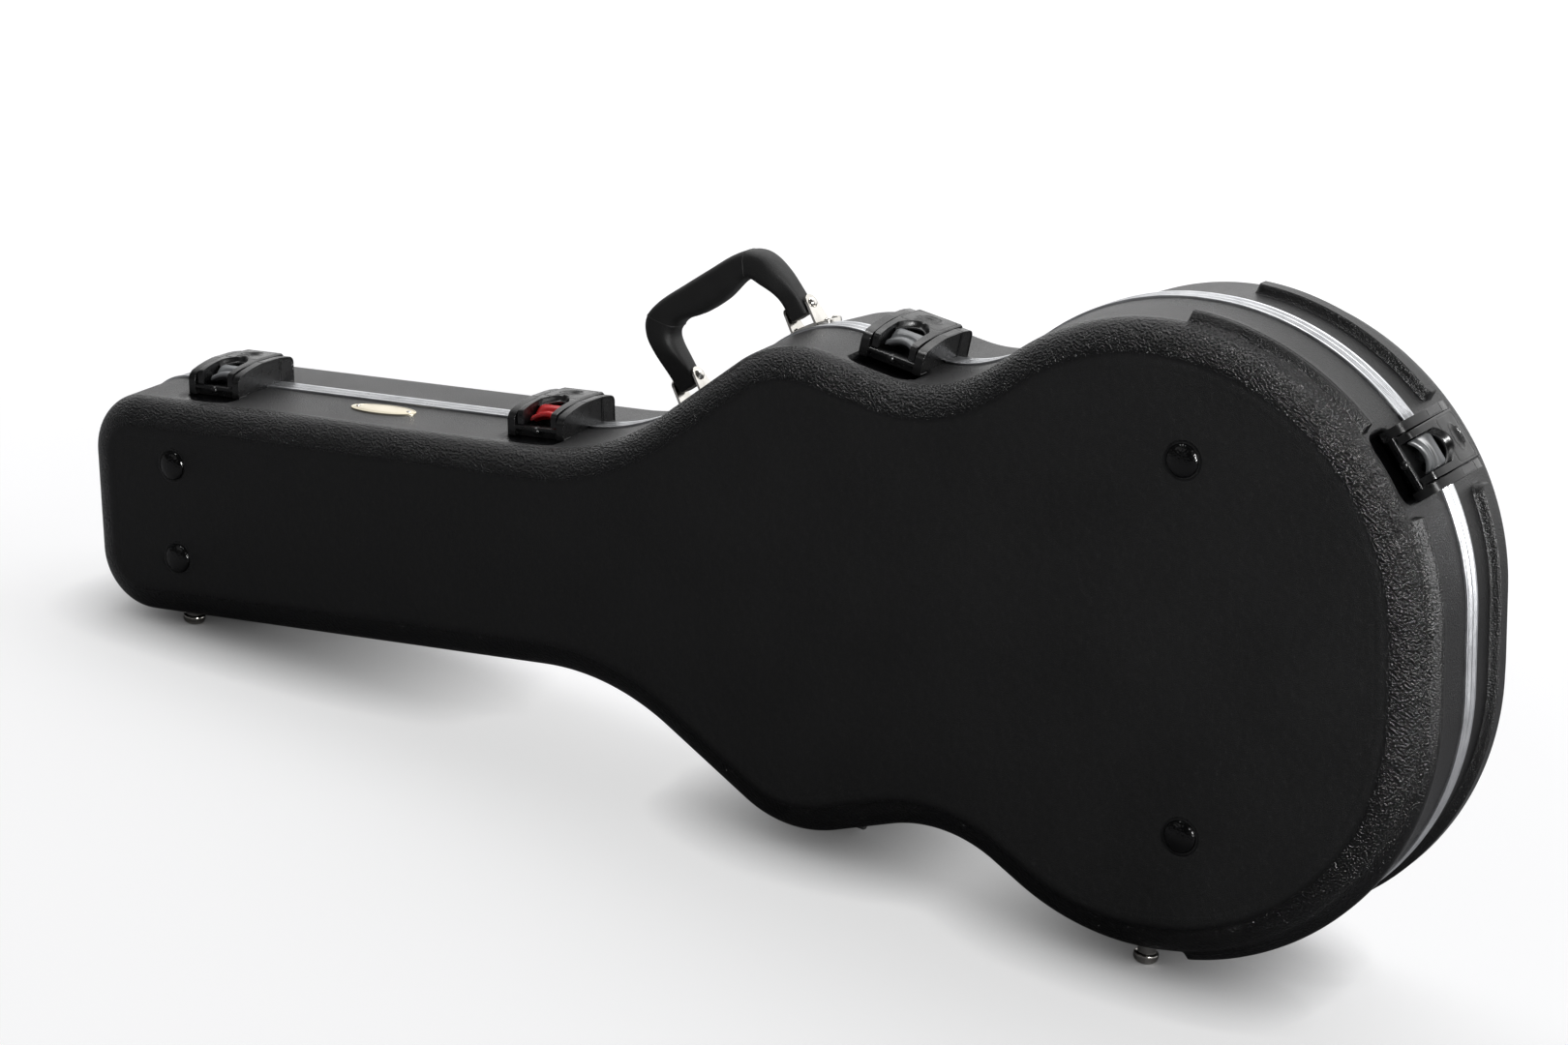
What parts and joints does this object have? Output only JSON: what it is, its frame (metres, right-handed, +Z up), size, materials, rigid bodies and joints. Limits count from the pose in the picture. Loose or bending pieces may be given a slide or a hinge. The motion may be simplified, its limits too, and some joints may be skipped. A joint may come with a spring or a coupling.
{
  "type": "guitar case",
  "caption": "Moulded hard-shell guitar case standing on edge: hinged lid, flip-cover latches with push triggers, swinging handle, plush-lined interior with neck cradle and flap compartment.",
  "frame": {"origin": "middle of the bounding box's footprint, on the surface that the four glides stand on", "axes": "+X from the head end to the butt, along the hinge line; +Y from the lid to the base through the thickness; +Z up, towards the handle"},
  "size_m": [1.122, 0.185, 0.4592],
  "materials": {
    "shell_plastic": "pebbled moulded black",
    "aluminium": "fine grooved satin extrusion",
    "nickel": "satin nickel plate",
    "steel": "plated steel",
    "latch_plastic": "semi-gloss black",
    "trigger_grey": "satin grey",
    "trigger_red": "satin red",
    "grip_plastic": "fine grained black",
    "plush": "short pile",
    "webbing": "woven tape",
    "nameplate_metal": "satin champagne plate"
  },
  "bodies": {
    "base": {"base_shell": "shell_plastic", "base_valance": "aluminium", "base_lining": "plush", "base_glide_head": "nickel", "base_glide_bout": "nickel", "neck_cradle": "plush", "compartment_box": "plush", "hinge_1_base_leaf": "steel", "hinge_1_pin": "nickel", "hinge_2_base_leaf": "steel", "hinge_2_pin": "nickel", "hinge_3_base_leaf": "steel", "hinge_3_pin": "nickel", "handle_bracket_head": "nickel", "handle_bracket_bout": "nickel", "handle_rivet_head": "nickel", "handle_rivet_bout": "nickel", "latch_1_hinge_block": "latch_plastic", "latch_1_pin": "steel", "latch_2_hinge_block": "latch_plastic", "latch_2_pin": "steel", "latch_3_hinge_block": "latch_plastic", "latch_3_pin": "steel", "latch_4_hinge_block": "latch_plastic", "latch_4_pin": "steel"},
    "lid": {"lid_shell": "shell_plastic", "lid_valance": "aluminium", "lid_lining": "plush", "lid_glide_head": "nickel", "lid_glide_bout": "nickel", "nameplate": "nameplate_metal", "hinge_1_lid_leaf": "steel", "hinge_2_lid_leaf": "steel", "hinge_3_lid_leaf": "steel", "latch_1_catch_frame": "latch_plastic", "latch_2_catch_frame": "latch_plastic", "latch_3_catch_frame": "latch_plastic", "latch_4_catch_frame": "latch_plastic"},
    "latch_cover_1": {"latch_1_cover": "latch_plastic", "latch_1_trigger_spring": "steel"},
    "trigger_1": {"latch_1_trigger": "trigger_grey"},
    "lock_1": {"latch_1_lock_cylinder": "latch_plastic"},
    "latch_cover_2": {"latch_2_cover": "latch_plastic", "latch_2_trigger_spring": "steel"},
    "trigger_2": {"latch_2_trigger": "trigger_red"},
    "lock_2": {"latch_2_lock_cylinder": "latch_plastic"},
    "latch_cover_3": {"latch_3_cover": "latch_plastic", "latch_3_trigger_spring": "steel"},
    "trigger_3": {"latch_3_trigger": "trigger_grey"},
    "lock_3": {"latch_3_lock_cylinder": "latch_plastic"},
    "latch_cover_4": {"latch_4_cover": "latch_plastic", "latch_4_trigger_spring": "steel"},
    "trigger_4": {"latch_4_trigger": "trigger_grey"},
    "lock_4": {"latch_4_lock_cylinder": "latch_plastic"},
    "handle": {"handle_grip": "grip_plastic"},
    "compartment_flap": {"compartment_flap": "plush", "compartment_tab": "webbing"}
  },
  "joints": [
    {"name": "lid_hinge", "type": "hinge", "parent": "base", "child": "lid", "pos_m": [0, -0.006, 0.0044], "axis": [1, 0, 0], "range_deg": [0, 100]},
    {"name": "latch_cover_1_flip", "type": "hinge", "parent": "base", "child": "latch_cover_1", "pos_m": [-0.46541, 0.009, 0.2061], "axis": [-0.9888, 0, -0.1495], "range_deg": [0, 120]},
    {"name": "trigger_1_press", "type": "slide", "parent": "latch_cover_1", "child": "trigger_1", "axis": [0, 1, 0], "range_m": [0, 0.004], "stiffness_N_per_m": 300},
    {"name": "lock_1_turn", "type": "hinge", "parent": "latch_cover_1", "child": "lock_1", "pos_m": [-0.46563, -0.002, 0.20758], "axis": [-0.1495, 0, 0.9888], "range_deg": [0, 90]},
    {"name": "latch_cover_2_flip", "type": "hinge", "parent": "base", "child": "latch_cover_2", "pos_m": [-0.16361, 0.009, 0.25168], "axis": [-0.9888, 0, -0.1495], "range_deg": [0, 120]},
    {"name": "trigger_2_press", "type": "slide", "parent": "latch_cover_2", "child": "trigger_2", "axis": [0, 1, 0], "range_m": [0, 0.004], "stiffness_N_per_m": 300},
    {"name": "lock_2_turn", "type": "hinge", "parent": "latch_cover_2", "child": "lock_2", "pos_m": [-0.16384, -0.002, 0.25316], "axis": [-0.1495, 0, 0.9888], "range_deg": [0, 90]},
    {"name": "latch_cover_3_flip", "type": "hinge", "parent": "base", "child": "latch_cover_3", "pos_m": [0.12332, 0.009, 0.37896], "axis": [-0.9965, 0, 0.0837], "range_deg": [0, 120]},
    {"name": "trigger_3_press", "type": "slide", "parent": "latch_cover_3", "child": "trigger_3", "axis": [0, 1, 0], "range_m": [0, 0.004], "stiffness_N_per_m": 300},
    {"name": "lock_3_turn", "type": "hinge", "parent": "latch_cover_3", "child": "lock_3", "pos_m": [0.12345, -0.002, 0.38046], "axis": [0.0837, 0, 0.9965], "range_deg": [0, 90]},
    {"name": "latch_cover_4_flip", "type": "hinge", "parent": "base", "child": "latch_cover_4", "pos_m": [0.50719, 0.009, 0.39874], "axis": [-0.6896, 0, 0.7242], "range_deg": [0, 120]},
    {"name": "trigger_4_press", "type": "slide", "parent": "latch_cover_4", "child": "trigger_4", "axis": [0, 1, 0], "range_m": [0, 0.004], "stiffness_N_per_m": 300},
    {"name": "lock_4_turn", "type": "hinge", "parent": "latch_cover_4", "child": "lock_4", "pos_m": [0.50827, -0.002, 0.39977], "axis": [0.7242, 0, 0.6896], "range_deg": [0, 90]},
    {"name": "handle_swing", "type": "hinge", "parent": "base", "child": "handle", "pos_m": [-0.02675, 0.006, 0.32905], "axis": [0.7513, 0, 0.66], "range_deg": [-85, 85]},
    {"name": "compartment_flap_hinge", "type": "hinge", "parent": "base", "child": "compartment_flap", "pos_m": [-0.26655, 0.0222, 0.13401], "axis": [0.1599, 0, -0.9871], "range_deg": [0, 95]}
  ]
}
